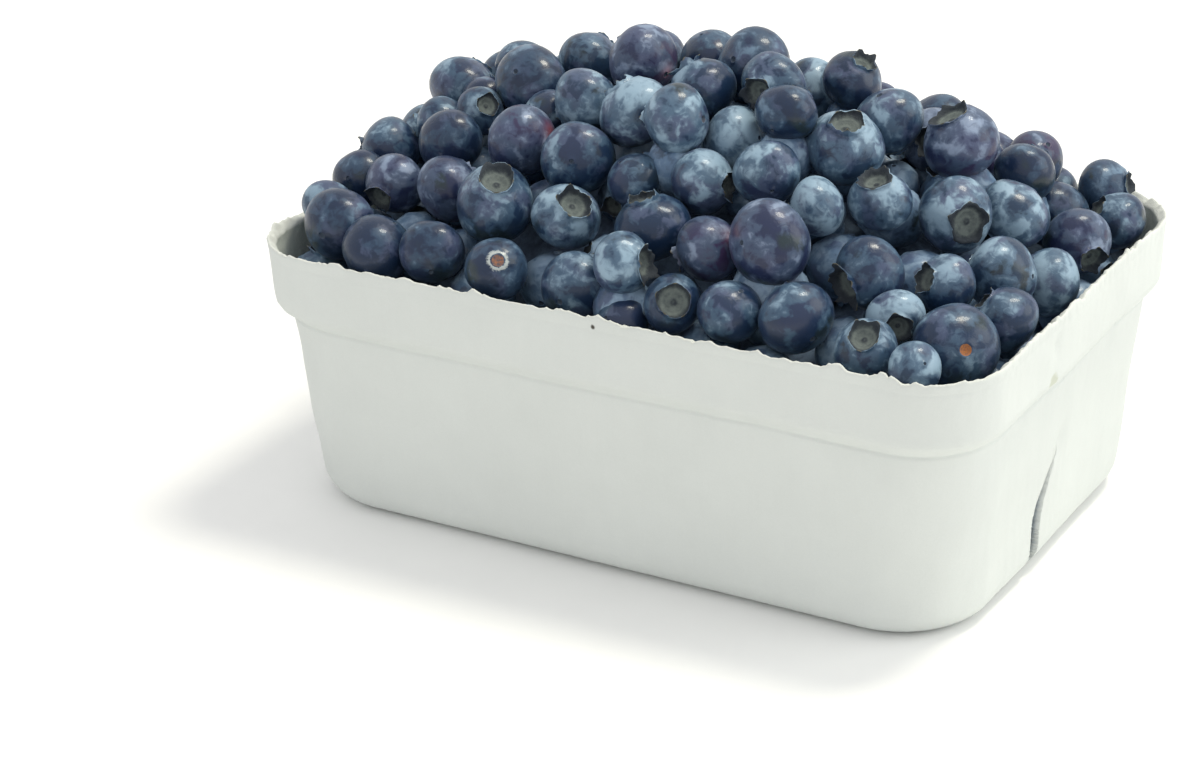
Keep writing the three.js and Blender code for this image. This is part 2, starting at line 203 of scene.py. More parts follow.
def surface_object(name, grid, materials, row_slots, attributes=None):
    """One object of closed surfaces. The first and last row of each are its poles, closed with
    a fan.

    Columns run anticlockwise seen from the last pole, so the faces point outwards. row_slots
    gives the material slot of each band of faces between two rows.
    """
    count, rows, columns = grid.shape[:3]
    size = (rows - 2) * columns + 2
    inner = 1 + np.arange((rows - 2) * columns).reshape(rows - 2, columns)
    index = np.concatenate([np.zeros((1, columns), int), inner, np.full((1, columns), size - 1)])
    index = index + size * np.arange(count)[:, None, None]
    after = np.roll(index, -1, axis=2)
    quads = together(index[:, 1:-2], after[:, 1:-2], after[:, 2:-1], index[:, 2:-1]).reshape(-1, 4)
    first = together(index[:, 0], after[:, 1], index[:, 1]).reshape(-1, 3)
    last = together(index[:, -1], index[:, -2], after[:, -2]).reshape(-1, 3)

    mesh = bpy.data.meshes.new(name)
    points = in_vertex_order(grid)
    corners = np.concatenate([quads.ravel(), first.ravel(), last.ravel()])
    sides = np.concatenate([np.full(len(quads), 4), np.full(len(first) + len(last), 3)])
    mesh.vertices.add(len(points))
    mesh.vertices.foreach_set("co", points.ravel())
    mesh.loops.add(len(corners))
    mesh.loops.foreach_set("vertex_index", corners)
    mesh.polygons.add(len(sides))
    mesh.polygons.foreach_set("loop_start", np.concatenate([[0], np.cumsum(sides)[:-1]]))
    slots = np.asarray(row_slots)
    of_quads = np.broadcast_to(slots[None, 1:-1, None], (count, rows - 3, columns)).ravel()
    ends = np.repeat([slots[0], slots[-1]], count * columns)
    mesh.polygons.foreach_set("material_index", np.concatenate([of_quads, ends]))
    mesh.update(calc_edges=True)
    mesh.shade_smooth()
    for material in materials:
        mesh.materials.append(material)
    for key, values in (attributes or {}).items():
        values = in_vertex_order(values)
        is_vector = values.ndim == 2
        made = mesh.attributes.new(key, "FLOAT_VECTOR" if is_vector else "FLOAT", "POINT")
        made.data.foreach_set("vector" if is_vector else "value", values.ravel())
    print(name, "has", int((sides - 2).sum()), "triangles")
    return put_in_scene(name, mesh)


# %% [markdown]
# ## The punnet's form
#
# The punnet is one wall of even thickness. Its outside is a rounded rectangle at every height:
# it leans in a little, has an upright band round the rim over a soft step, and turns into a flat
# underside with a round foot. The same formula, one wall thickness further in, gives the inside,
# so one surface can run from the middle of the underside, up the outside, over the rim and down
# to the middle of the floor inside. A Solidify modifier could thicken an open shell instead, but
# then the torn rim would be as smooth as the wall.

# %% Sizes of the punnet
LENGTH, WIDTH, HEIGHT = 165 * MM, 113 * MM, 59 * MM
WALL = 1.8 * MM
BAND_HEIGHT, BAND_LEAN = 13.4 * MM, 0.5 * MM
STEP_HEIGHT, STEP_IN = 3.3 * MM, 2.2 * MM
WALL_LEAN = 0.074  # in for each metre down
FOOT_ROUND = 5.8 * MM
RIM_CORNER, FOOT_CORNER = 16 * MM, 20 * MM
GAP = 0.3 * MM  # between the fruit and the wall


def smooth(start, end, values):
    """0 up to start, 1 from end on, and an S-shaped rise 3t² - 2t³ in between."""
    share = np.clip((values - start) / (end - start), 0, 1)
    return share * share * (3 - 2 * share)


def bell(distance, width):
    """A bell curve, 1 in its middle: e to the power of minus (distance / width) squared."""
    return np.exp(-((distance / width) ** 2))


def inset_at(z):
    """How far the outside has come in from the rim's outline: the band's lean, the step, the
    wall's lean."""
    down = HEIGHT - z
    band = BAND_LEAN * np.minimum(down / BAND_HEIGHT, 1)
    step = STEP_IN * smooth(BAND_HEIGHT, BAND_HEIGHT + STEP_HEIGHT, down)
    return band + step + WALL_LEAN * np.maximum(down - BAND_HEIGHT - STEP_HEIGHT, 0)


def foot_at(z, depth):
    """How far the foot's quarter round has come in, on the skin that lies depth inside the
    outside."""
    into_foot = np.maximum(FOOT_ROUND - z, 0)
    return (FOOT_ROUND - depth) - np.sqrt(np.maximum((FOOT_ROUND - depth) ** 2 - into_foot ** 2, 0))


def stations(count):
    """Even steps round the rim, from where the +X end's flat part begins in front: how far each
    is along the flat part of the end and of the side, from -1 to 1, the bearing that it faces,
    and its share of the way round. Flats and corner arcs take turns."""
    flat_x, flat_y, arc = LENGTH - 2 * RIM_CORNER, WIDTH - 2 * RIM_CORNER, RIM_CORNER * math.pi / 2
    joints = np.cumsum([0, flat_y, arc, flat_x, arc, flat_y, arc, flat_x, arc])
    along = np.arange(count) / count * joints[-1]
    across = np.interp(along, joints, [1, 1, 1, -1, -1, -1, -1, 1, 1])
    deep = np.interp(along, joints, [-1, 1, 1, 1, 1, -1, -1, -1, -1])
    facing = np.radians(np.interp(along, joints, [0, 0, 90, 90, 180, 180, 270, 270, 360]))
    return across, deep, facing, along / joints[-1]


def rings(z, depth, columns):
    """Rounded rectangles at the heights z, on the skin that lies depth inside the outside: x, y,
    bearing and share round. A point on the flats plus the corner's radius along the bearing."""
    across, deep, facing, share_round = stations(columns)
    foot = foot_at(z, depth)
    corner = FOOT_CORNER + (RIM_CORNER - FOOT_CORNER) * z / HEIGHT - depth - foot
    inset = inset_at(z) + depth + foot
    x = across * (LENGTH / 2 - inset - corner) + corner * np.cos(facing)
    y = deep * (WIDTH / 2 - inset - corner) + corner * np.sin(facing)
    return x, y, facing, share_round


# %% [markdown]
# ## Pulp that isn't true
#
# Moulded pulp dries unevenly: walls bow, the step wanders, and the rim is left as it tore or
# felted, in small tufts and flaps. Blender's Displace modifier does that from a texture. Here it
# is a sum of sine waves that run in random directions, because it needs no texture, comes out
# the same each run, and closes on itself round the rim when each wave has a whole number of
# turns.

# %% Waves, the rim's edge and dents
SEED = 20709
RIM_WAVE = 0.35 * MM
rng = np.random.default_rng(SEED)


def ripples(points, length, count=28):
    """Sum of count plane sine waves of about that length, each with its own direction and
    start. It goes from about -1 to 1."""
    way = rng.normal(size=(count, 3))
    way *= 2 * np.pi / length / np.linalg.norm(way, axis=1, keepdims=True)
    way *= rng.uniform(0.6, 1.5, (count, 1))
    start = rng.uniform(0, 2 * np.pi, count)
    waves = np.sin(np.tensordot(points, way, axes=([-1], [1])) + start)
    return waves.sum(axis=-1) / math.sqrt(count)


def tufts(share_round, fewest, most, fall, count=60):
    """Sum of up to count sine waves with fewest to most whole turns round the rim, weaker the
    finer they are."""
    turns = np.unique(np.geomspace(fewest, most, count).astype(int))
    strength = (fewest / turns) ** fall
    start = rng.uniform(0, 2 * np.pi, len(turns))
    waves = strength * np.sin(2 * np.pi * np.multiply.outer(share_round, turns) + start)
    return waves.sum(axis=-1) / math.sqrt((strength ** 2).sum())


def away_from(share_round, place):
    """How far round the rim it is from each place, the short way, as a share of the whole."""
    return (share_round[:, None] - place + 0.5) % 1 - 0.5


def nibs(share_round, count, width):
    """Sharp little teeth at random places round the rim: a pointed bell each, up to 1 high."""
    place = rng.uniform(0, 1, count)
    high = rng.uniform(0.2, 1, count) ** 2
    return (high * np.exp(-np.abs(away_from(share_round, place)) / width)).sum(axis=-1)


def flaps(share_round, count, narrowest, widest):
    """Bits left standing or torn away between two tears: each is up to 1 high or 0.6 deep, with
    a steep side and a sloping one."""
    draws = np.random.default_rng(count)
    place, half = draws.uniform(0, 1, count), draws.uniform(narrowest, widest, count)
    high = draws.uniform(0.2, 1, count) * draws.choice([-0.6, 1], count)
    along = away_from(share_round, place)
    sides = smooth(-half, -0.75 * half, along) * smooth(half, 0.3 * half, along)
    return (high * sides).sum(axis=-1)


def rim_wave(x, y):
    """The slow rise and fall of the rim on its way round: waves of 3, 7 and 13 turns."""
    turn = np.arctan2(y / WIDTH, x / LENGTH)
    waves = 0.5 * np.sin(3 * turn + 1) + 0.3 * np.sin(7 * turn) + 0.2 * np.sin(13 * turn + 2)
    return RIM_WAVE * waves


# Dents in the walls: place, radius and depth.
DENTS = np.array([
    [82.3, -15, 52.5, 1.6, 0.8],
    [81.0, -16, 45.8, 1.5, 0.6],
    [80.0, 21, 42.7, 2.8, 0.7],
    [79.0, -1.5, 27.5, 2.6, 1.0],
    [-20, -54, 30.0, 16, 0.5],
    [35, -53, 22.0, 12, 0.4],
]) * MM


def dented(points):
    """How far the wall is pressed in: a bell-shaped dent round each place."""
    distance = np.linalg.norm(points[..., None, :] - DENTS[:, :3], axis=-1)
    return (DENTS[:, 4] * bell(distance, DENTS[:, 3])).sum(axis=-1)


print("dents in the walls:", len(DENTS))

# %% The shell's profile
OUTSIDE, TORN, INSIDE = 0, 1, 2  # material slots
WALL_TOP = HEIGHT - BAND_HEIGHT - STEP_HEIGHT


def shell_rows():
    """The profile as rows of height, depth and how much of the ring's width is left, and the
    slots between.

    Underside, foot, wall, step and band outside; then over the rim, whose crest is thin and
    slopes off inwards; then the same down the inside.
    """
    turn = np.radians(np.linspace(0, 90, 8))

    def side(depth, top):
        foot = depth + (FOOT_ROUND - depth) * (1 - np.cos(turn))
        wall = np.linspace(FOOT_ROUND, WALL_TOP - 1.6 * MM, 11)[1:]
        crease = WALL_TOP + np.array([-0.9, -0.5, -0.25, 0, 0.25, 0.5, 0.9]) * MM
        step = WALL_TOP + STEP_HEIGHT * np.array([0.5, 0.75, 1])
        band = HEIGHT - np.array([12.4, 10.4, 8, 5.5, 3.6, 3.0, 2.7, 2.4, 2.1, 1.8, 1.0]) * MM
        heights = np.concatenate([foot, wall, crease, step, band[band < top], [top]])
        return [(z, depth, 1) for z in heights]

    under = [(0, 0, share) for share in (0, 0.4, 0.8)]
    over = [(HEIGHT - lower * MM, depth * WALL, 1) for lower, depth in
            ((0.1, 0.06), (0, 0.15), (0.05, 0.26), (0.3, 0.42), (0.65, 0.62), (1.05, 0.85))]
    floor = [(WALL, WALL, share) for share in (0.8, 0.4, 0)]
    outside, inside = side(0, HEIGHT - 0.3 * MM), side(WALL, HEIGHT - 1.5 * MM)[::-1]
    rows = np.array(under + outside + over + inside + floor)
    slots = [OUTSIDE] * (len(under) + len(outside) - 1) + [TORN] * (len(over) + 1)
    return rows, slots + [INSIDE] * (len(rows) - 1 - len(slots))


print("wall's top, mm:", round(WALL_TOP / MM, 1))

# %% Build the shell
SHELL_COLUMNS = 960
# How far the shell departs from true, and over what length.
BOW, BOW_LENGTH = 0.28 * MM, 48 * MM
BUCKLE, BUCKLE_LENGTH = 0.10 * MM, 14 * MM
FELT_OUTSIDE, FELT_INSIDE, FELT_LENGTH = 0.03 * MM, 0.09 * MM, 3.5 * MM
FRAY, INNER_FRAY, EDGE_FRAY = 0.20 * MM, 0.25 * MM, 0.06 * MM
# Waves round the rim: fewest and most whole turns, and how much weaker the finer ones are.
CALM_WAVES, FRAY_WAVES = (6, 30, 0.3), (60, 300, 0.4)
INNER_WAVES, EDGE_WAVES = (60, 500, 0.5), (150, 600, 0.3)
# Teeth and flaps on the rim: height in millimetres, how many, and widths as shares of the way.
NIBS = [(0.95, 44, 0.0012), (0.55, 110, 0.0004)]
FLAP_HEIGHT, FLAPS = 0.8, (110, 0.0012, 0.005)
STEP_CREASE, STEP_CREASE_WIDTH = 0.26 * MM, 0.33 * MM
# A crease under the rim, round the near corner.
RIM_CREASE, RIM_CREASE_WIDTH, RIM_CREASE_DOWN = 0.13 * MM, 0.3 * MM, 2.4 * MM
CREASED_BEARING, CREASED_ARC = 312, 42


def shell_grid():
    """The shell: a rounded rectangle at every row, then bowed, dented and frayed along the
    rim."""
    rows, slots = shell_rows()
    z, depth, share = (column[:, None] for column in rows.T)
    x, y, facing, share_round = rings(z, depth, SHELL_COLUMNS)
    points = together(x * share, y * share, z)
    inner = depth > 0.5 * WALL

    rim = smooth(HEIGHT - 2.5 * MM, HEIGHT - 0.4 * MM, z)
    calm = 0.35 + 0.65 * smooth(-0.6, 0.9, tufts(share_round, *CALM_WAVES))
    teeth = sum(high * nibs(share_round, *kind) for high, *kind in NIBS)
    torn = FLAP_HEIGHT * flaps(share_round, *FLAPS)
    fray = FRAY * calm * tufts(share_round, *FRAY_WAVES) + MM * (teeth + torn)
    inner_fray = INNER_FRAY * tufts(share_round, *INNER_WAVES)
    lift = np.where(depth > 0.6 * WALL, inner_fray, fray) + rim_wave(x, y)

    bow = BOW * ripples(points, BOW_LENGTH) + BUCKLE * ripples(points, BUCKLE_LENGTH)
    felt = np.where(inner, FELT_INSIDE, FELT_OUTSIDE) * ripples(points, FELT_LENGTH)
    crease = STEP_CREASE * bell(z - HEIGHT + BAND_HEIGHT + STEP_HEIGHT, STEP_CREASE_WIDTH)
    off_bearing = (np.degrees(facing) - CREASED_BEARING + 180) % 360 - 180
    at_corner = RIM_CREASE * bell(off_bearing, CREASED_ARC)
    crease = crease + at_corner * bell(z - HEIGHT + RIM_CREASE_DOWN, RIM_CREASE_WIDTH)
    upright = smooth(0, FOOT_ROUND, z) * (1 - 0.6 * rim)
    bow = bow * upright + felt * share - dented(points) - crease * ~inner
    ragged = EDGE_FRAY * tufts(share_round, *EDGE_WAVES) * rim
    points = points + (bow + ragged)[..., None] * together(np.cos(facing), np.sin(facing), 0)
    points[..., 2] += rim * lift
    on_floor = z < 0.5 * MM
    points[..., 2] = np.where(on_floor, np.maximum(points[..., 2], 0), points[..., 2])
    return points[None], slots


shell, shell_slots = shell_grid()
print("shell grid:", shell.shape[1], "rows,", shell.shape[2], "columns")

# %% [markdown]
# ## Materials of the pulp
#
# Moulded pulp is felted paper fibre: unbleached white, quite matte, a little cooler and smoother
# outside where it lay on the mould, rougher and duller inside, and creamy where it is torn. A
# picture of paper would do, but noise at the right sizes needs none: clouds of some 15 mm where
# the pulp lies thicker, upright streaks 1.4 mm wide where it drained, felting 2.4 mm wide, and
# fibres 0.4 mm wide, which are drawn that coarse to show.

# %% Make the pulp materials
CLOUDS, STREAKS, FELT = 15 * MM, 1.4 * MM, 2.4 * MM
STREAK_LENGTH = 0.06  # the streaks' pattern changes only this much as fast upwards as across
FIBRES = 0.38 * MM  # real ones are a tenth as wide
# A bark fleck in the band's front and painted shade in a dent on its end: place, radius and colour.
FLECKS_AND_PAINTED_SHADE = [
    (Vector((2.5, -56.4, 57.3)) * MM, 0.4 * MM, "#4d4a44"),
    (Vector((82.0, -15.3, 45.4)) * MM, 1.3 * MM, "#c6cabd"),
]
# In the radii of each fleck and patch of painted shade: how far the felt pulls at its edge, where
# it starts and where it is full.
FLECK_AND_SHADE_RAG, FLECK_AND_SHADE_STARTS, FLECK_AND_SHADE_FULL = 1.75, 2.4, 1.75


def moulded_pulp(name, thin, thick, roughness, relief, flecks_and_painted_shade=()):
    """Paper pulp: clouds, drainage streaks and fibres add up to a mix between two shades, with
    ragged flecks and patches of painted shade on top. Felt and fibres are its relief."""
    material, tree, shader = new_material(name)
    place = add(tree, "TexCoord", output="Object")
    upright = add(tree, "Mapping", {"Vector": place, "Scale": (1, 1, STREAK_LENGTH)})
    clouds, streaks, fibres, felt = (
        add(tree, "TexNoise", {"Vector": at, "Scale": 1 / size, "Detail": detail,
                               "Roughness": rough, "Distortion": swirl})
        for at, size, detail, rough, swirl in (
            (place, CLOUDS, 4, 0.6, 0), (upright, STREAKS, 3, 0.5, 0),
            (place, FIBRES, 5, 0.7, 1.5), (place, FELT, 5, 0.65, 0)))
    level = clouds
    for value, share in ((streaks, 0.2), (fibres, 1.2)):
        level = add(tree, "Math", {0: value, 1: share, 2: level}, operation="MULTIPLY_ADD")
    thickness = add(tree, "MapRange", {"Value": level, "From Min": 0.8, "From Max": 1.6})
    layers = [(thickness, thick)]
    for middle, radius, tone in flecks_and_painted_shade:
        far = add(tree, "VectorMath", {0: place, 1: middle}, "Value", operation="DISTANCE")
        ragged_reach = add(tree, "Math", {0: felt, 1: FLECK_AND_SHADE_RAG * radius, 2: far},
                   operation="MULTIPLY_ADD")
        fleck_and_shade_share = add(tree, "MapRange", {"Value": ragged_reach, "From Min": FLECK_AND_SHADE_STARTS * radius,
                                       "From Max": FLECK_AND_SHADE_FULL * radius})
        layers.append((fleck_and_shade_share, tone))
    colour = linear(thin)
    for share, tone in layers:
        colour = add(tree, "Mix", {0: share, MIX_A: colour, MIX_B: linear(tone)}, MIX_RESULT,
                     data_type="RGBA")
    height = add(tree, "Math", {0: fibres, 1: 0.35, 2: felt}, operation="MULTIPLY_ADD")
    bump = add(tree, "Bump", {"Height": height, "Strength": 1.0, "Distance": relief})
    connect(tree, shader, {
        "Base Color": colour, "Normal": bump, "Roughness": roughness,
        "IOR": 1.47,  # cellulose
        "Specular IOR Level": 0.25,  # felt scatters most of its shine away
    })
    return material


pulp_moulded = moulded_pulp("moulded_pulp_outside", "#d0d4d1", "#d7dbd8", 0.9, 0.06 * MM, FLECKS_AND_PAINTED_SHADE)
pulp_torn = moulded_pulp("moulded_pulp_torn", "#cfd2cc", "#e1e4df", 1.0, 0.30 * MM)
# the slits' cut faces get paler pulp colours than any other face: painted light where the narrow
# slit shades them
pulp_cut_painted_light = moulded_pulp("moulded_pulp_cut_face_painted_light", "#e9e9e0", "#f2f2ec", 1.0, 0.20 * MM)
pulp_felted = moulded_pulp("moulded_pulp_inside", "#b8bfb6", "#dce1d9", 1.0, 0.28 * MM)
print("pulp materials:", pulp_moulded.name, pulp_torn.name, pulp_cut_painted_light.name, pulp_felted.name)

# %% [markdown]
# ## Slits in the ends
#
# Each end has a narrow slit low in the wall, for air. It rises straight from near the foot, then
# leans over and runs out to a point, and its side is left rough. Cutting it with a Boolean keeps
# the wall's thickness in view. The cutter is an outline of two edges, each a straight and a
# curve, pushed through the wall.

# %% Cut the slits
SLIT_WIDTH = 3.9 * MM
SLIT_FOOT, SLIT_BEND, SLIT_TOP = 3 * MM, 12 * MM, 25 * MM
SLIT_LEAN = 8.7 * MM
SLIT_SHIFT = -11.3 * MM
SLIT_DEPTH = 24 * MM
SLIT_FRAY = 0.08 * MM
CUTTER_RINGS = np.array([0, 0, 0.9, 0.93, 0.96, 1, 1])[:, None]  # as shares of its depth


def slit_edge(start, pull, bend, count=40):
    """An edge of the slit: straight up to bend, then a quadratic curve, pulled sideways, up to
    the point."""
    share = np.linspace(0, 1, count)
    foot = together(start, SLIT_FOOT + (bend - SLIT_FOOT) * share)
    ends = np.array([[start, bend], pull, [SLIT_LEAN, SLIT_TOP]])
    weights = together((1 - share) ** 2, 2 * share * (1 - share), share ** 2)
    return np.concatenate([foot[:-1], weights @ ends])


def slit_cutter():
    """A closed prism of the slit's outline, with both edges frayed but for the point. Its rings
    run along the end and up."""
    side, swing = SLIT_WIDTH / 2, (SLIT_TOP - SLIT_BEND) / 2
    left = slit_edge(-side, (-0.6 * side, SLIT_BEND + 1.2 * swing), SLIT_BEND)
    right = slit_edge(side, (1.4 * side, SLIT_TOP - swing), SLIT_TOP - 2.4 * swing)
    outline = np.concatenate([right[:-1], left[::-1]])
    along, through = rng.normal(size=len(outline)), rng.normal(size=(7, len(outline)))
    fray = SLIT_FRAY * (along + 0.7 * through)
    fray[:, len(right) - 3:len(right) + 2] = 0
    grid = together(LENGTH / 2 - SLIT_DEPTH + WALL + SLIT_DEPTH * CUTTER_RINGS,
                    SLIT_SHIFT + outline[:, 0] + fray, outline[:, 1])
    grid[[0, -1]] = grid[[0, -1]].mean(axis=1, keepdims=True)
    return surface_object("slit_cutter", grid[None], [pulp_cut_painted_light], [0] * (len(grid) - 1))


def cut(piece, cutter):
    """Cuts cutter out of piece for good, and removes it."""
    modifier = piece.modifiers.new("slit", "BOOLEAN")
    modifier.operation, modifier.object, modifier.solver = "DIFFERENCE", cutter, "MANIFOLD"
    evaluated = piece.evaluated_get(bpy.context.evaluated_depsgraph_get())
    made = bpy.data.meshes.new_from_object(evaluated)
    piece.modifiers.clear()
    piece.data = made
    bpy.data.objects.remove(cutter)


punnet = surface_object("punnet_shell", shell, [pulp_moulded, pulp_torn, pulp_felted],
                        shell_slots)
for turn in (0, math.pi):
    cutter = slit_cutter()
    cutter.data.transform(Matrix.Rotation(turn, 4, "Z"))
    bpy.context.view_layer.update()
    cut(punnet, cutter)
print("cut shell:", len(punnet.data.polygons), "faces")

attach(punnet, "root")
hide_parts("punnet")

# %% [markdown]
# ## Where the berries lie
#
# A heap can be dropped in with rigid bodies, but then nobody says which berry lies where. Here
# the berries that make the heap's outline are laid one by one on a mound, and the rest are thrown
# at random into the gaps and pushed apart until they lie side by side, by the rule that placed
# them in the frame. Each row gives a berry's place, width and lift over the mound in
# millimetres, the bearing and tilt of its crown in degrees, the kind of its skin, and how wide
# its crown is as a share of its radius.

# %% Lay the berries
PEAK_X, PEAK_Y, HEAP_RISE = -8 * MM, 8 * MM, 31 * MM
REACH_SIDE, REACH_FRONT, REACH_BACK = 80 * MM, 58 * MM, 44 * MM
SIDE_POWER, FRONT_POWER, BACK_POWER = 2, 1.4, 2
TINY = 1e-12  # keeps a division from failing where two points meet

# Kinds of skin: heavy bloom; bloom in patches; bloom rubbed off; not quite ripe, with a purple
# flush; and, in the layer beneath, all of its bloom left and painted paler still, as painted
# light in the shaded gaps.
BLOOMED, PATCHY, BARE, DUSKY, UNTOUCHED_PAINTED_LIGHT = 0, 1, 2, 3, 4
LAID_BERRIES = np.array([
    # along the rim in front, from the left
    [-66, -42, 15.6, 0, 90, 90, BARE, 0.44],
    [-41, -46, 13.6, 0, 120, 70, BARE, 0.40],
    [-25, -47, 13.0, 0, 127, 129, BARE, 0.42],
    [-8, -45, 14.6, -3, 90, 80, PATCHY, 0.44],
    [3, -45, 13.2, 4, 0, 80, BLOOMED, 0.48],
    [15, -47, 12.4, 0, -56, 61, PATCHY, 0.60],
    [27, -46, 13.4, 0, 170, 150, PATCHY, 0.40],
    [40, -44, 15.2, 0, 150, 70, PATCHY, 0.42],
    [56, -46, 13.0, -1, -75, 37, PATCHY, 0.50],
    [70, -36, 17.2, -1, 127, 109, PATCHY, 0.42],
    # across the slope in front
    [-62, -27, 13.8, -1, -96, 106, DUSKY, 0.42],
    [-33, -34, 17.4, 0, -46, 24, PATCHY, 0.46],
    [-17, -33, 14.4, -2, -32, 45, BLOOMED, 0.48],
    [2, -31, 15.8, -3, -157, 17, PATCHY, 0.42],
    [16, -34, 13.6, -1, 180, 118, DUSKY, 0.40],
    [30, -35, 17.8, 5, 70, 105, DUSKY, 0.44],
    [48, -28, 14.8, 0, -114, 100, PATCHY, 0.46],
    [61, -21, 12.8, 0, -124, 64, PATCHY, 0.48],
    [-55, -16, 14.8, 0, 103, 72, BARE, 0.40],
    [-36, -18, 15.4, 0, 170, 93, DUSKY, 0.40],
    [-1, -15, 14.4, 5, 180, 99, BLOOMED, 0.42],
    [20, -17, 13.8, 1, 130, 73, BLOOMED, 0.42],
    [42, -10, 13.6, 0, -103, 21, BLOOMED, 0.44],
    # along the ridge, from the left
    [-73, -24, 12.4, 0, 93, 109, BARE, 0.40],
    [-46, 3, 17.0, 0, 86, 124, BARE, 0.42],
    [-21, 7, 15.6, 0, 165, 78, DUSKY, 0.42],
    [1, 15, 16.8, 0, 76, 116, BARE, 0.44],
    [11, 4, 14.2, 2, -96, 92, PATCHY, 0.46],
    [19, -6, 12.8, 5, 84, 69, BARE, 0.42],
    [21, 21, 13.4, 3, -8, 28, BARE, 0.40],
    [30, -2, 16.4, 0, -52, 19, BLOOMED, 0.50],
    [48, 15, 16.0, 5, -144, 23, DUSKY, 0.46],
    [54, -1, 15.6, 0, -41, 87, BLOOMED, 0.50],
    [54, 40, 13.0, 4, 156, 137, DUSKY, 0.40],
    [57, 27, 12.8, 3, 81, 69, BARE, 0.42],
    # along the rim at the right
    [72, 5, 13.8, -2, -141, 73, BLOOMED, 0.44],
    [71, 22, 14.4, 0, -36, 108, DUSKY, 0.42],
    [74, 38, 12.6, 0, -150, 57, PATCHY, 0.44],
    [67, 47, 12.8, 2, 11, 78, BARE, 0.46],
])


def mound(x, y):
    """Height of the mound that the berries' middles lie on: it falls from the peak as one minus
    a power of the share of the way to the rim, across times deep."""
    to_side = np.minimum(np.abs(x - PEAK_X) / REACH_SIDE, 1) ** SIDE_POWER
    in_front = y < PEAK_Y
    reach = np.where(in_front, REACH_FRONT, REACH_BACK)
    power = np.where(in_front, FRONT_POWER, BACK_POWER)
    to_deep = np.minimum(np.abs(y - PEAK_Y) / reach, 1) ** power
    return HEIGHT + HEAP_RISE * (1 - to_side) * (1 - to_deep)


def keep_inside(place, radius):
    """Moves middles into the inside's outline less their radius: each goes no further than the
    corner's radius from the nearest point of the flats."""
    x, y, z = place.T
    depth = inset_at(np.minimum(z, HEIGHT)) + WALL + GAP
    corner = np.maximum(RIM_CORNER - depth - radius, 0.1 * MM)
    reach_x = LENGTH / 2 - depth - radius - corner
    reach_y = WIDTH / 2 - depth - radius - corner
    near_x, near_y = np.clip(x, -reach_x, reach_x), np.clip(y, -reach_y, reach_y)
    share = np.minimum(corner / np.maximum(np.hypot(x - near_x, y - near_y), TINY), 1)
    return together(near_x + (x - near_x) * share, near_y + (y - near_y) * share, z)


print(len(LAID_BERRIES), "berries laid by hand")

# %% Throw the filling berries and let them settle
THROWS = 2400
LARGEST, SMALLEST = 15.4 * MM, 10.6 * MM
LIFTS = -3 * MM, 1 * MM  # lowest and highest lift over the mound
CROWDED = 0.84  # nearer to another than this share of touching, none is added
TOUCH = 1.01  # they settle this many times as far apart as two balls that touch
SETTLE_STEPS, SETTLE_PUSH, SETTLE_PULL = 60, 0.4, 0.3


def number_stream(seed):
    """Even draws from 0 to 1: the seed times 1664525 plus 1013904223, modulo 2 to the 32nd, over
    and over."""
    while True:
        seed = (seed * 1664525 + 1013904223) % 2 ** 32
        yield seed / 2 ** 32


def thrown(there, stream, lowest, highest):
    """Berries thrown over the heap, the largest first, each kept where it lands clear of all
    before it. there is rows of x, y, z, radius, lift, bearing and tilt."""
    rows = list(there)
    for throw in range(THROWS):
        radius = (LARGEST + (SMALLEST - LARGEST) * throw / THROWS) / 2
        x, y = LENGTH * (next(stream) - 0.5), WIDTH * (next(stream) - 0.5)
        lift = lowest + (highest - lowest) * next(stream)
        bearing, tilt = 360 * next(stream), math.degrees(math.acos(1 - 2 * next(stream)))
        place = keep_inside(np.array([[x, y, mound(x, y) + lift]]), radius)[0]
        so_far = np.array(rows)
        distance = np.linalg.norm(so_far[:, :3] - place, axis=1)
        if (distance > CROWDED * (radius + so_far[:, 3])).all():
            rows.append(np.array([*place, radius, lift, bearing, tilt]))
    return np.array(rows)


def settled(rows, fixed):
    """Pushes overlapping berries apart, in steps, and draws each back to its lift over the
    mound. One beside a fixed berry takes the whole push."""
    rows = rows.copy()
    place, radius, lift = rows[:, :3], rows[:, 3], rows[:, 4]
    for _ in range(SETTLE_STEPS):
        away = place[:, None] - place[None]
        distance = np.linalg.norm(away, axis=-1)
        overlap = TOUCH * (radius[:, None] + radius[None]) - distance
        np.fill_diagonal(overlap, 0)
        push = SETTLE_PUSH * np.where(fixed, 2, 1)[None] * np.maximum(overlap, 0)
        push = push / np.maximum(distance, TINY)
        moved = place + (away * push[..., None]).sum(axis=1)
        moved[:, 2] += SETTLE_PULL * (mound(moved[:, 0], moved[:, 1]) + lift - moved[:, 2])
        place[~fixed] = keep_inside(moved, radius)[~fixed]
    return rows


x, y, width, lift = LAID_BERRIES[:, :4].T * MM
laid = together(x, y, mound(x, y) + lift, width / 2, lift, *LAID_BERRIES[:, 4:6].T)
stream = number_stream(SEED)
heap = thrown(laid, stream, *LIFTS)
heap = settled(heap, np.arange(len(heap)) < len(laid))
print(len(laid), "laid berries and", len(heap) - len(laid), "filling ones")

# %% [markdown]
# ## Berries beneath
#
# Between the berries on top one looks down onto others, so a second layer lies about a berry's
# width lower. It is thrown and settled round the first by the same rule, with the berries above
# held still. Under it, a plain core fills the punnet: nothing of it shows but the dark between
# two berries.

# %% Throw the layer beneath
STANDS_PROUD = 2 * MM  # from this lift on, a berry stands on another right under it
UNDER = 1.4  # that many radii lower
LIFTS_BENEATH = -13 * MM, -7 * MM

